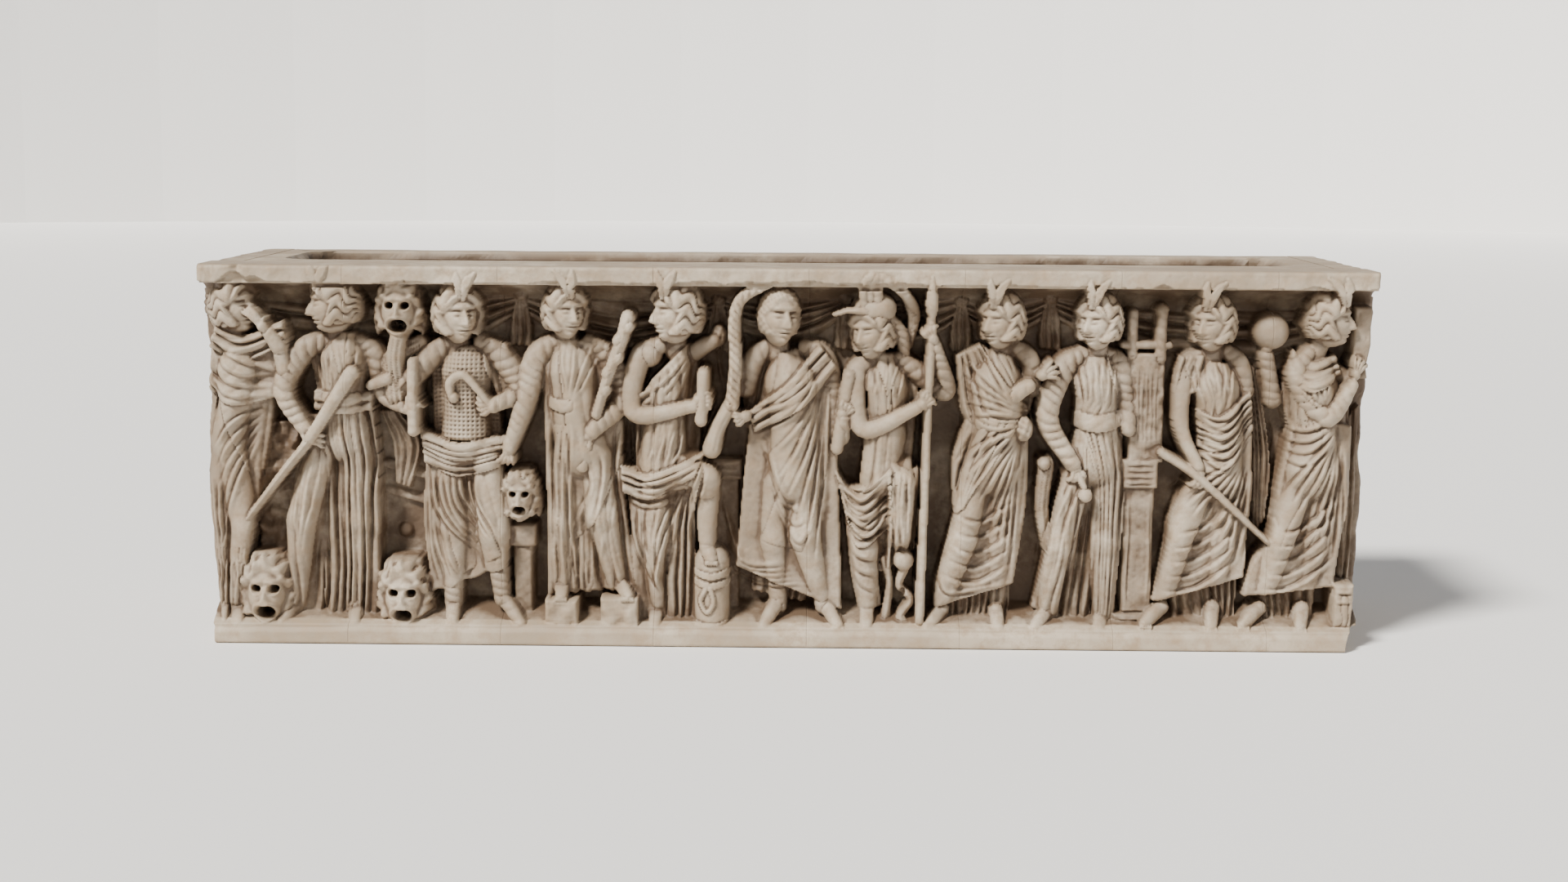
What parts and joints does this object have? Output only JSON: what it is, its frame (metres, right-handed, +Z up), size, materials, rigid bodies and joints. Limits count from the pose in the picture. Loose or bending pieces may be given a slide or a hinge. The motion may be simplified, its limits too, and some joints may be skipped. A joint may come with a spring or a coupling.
{
  "type": "marble sarcophagus chest",
  "caption": "Open stone burial chest without its lid; the front is a deep relief of standing draped figures, with masks and instruments, in front of a hung curtain.",
  "frame": {"origin": "middle of the underside, at the centre of the footprint", "axes": "+X along the chest's length, to the right as the carved front is seen; -Y out of the carved front; +Z up"},
  "size_m": [2.15, 0.56, 0.69],
  "materials": {
    "marble": "dry worn marble with warm brown soil in the recesses and a paler rim"
  },
  "bodies": {
    "root": {"chest": "marble"}
  },
  "joints": []
}
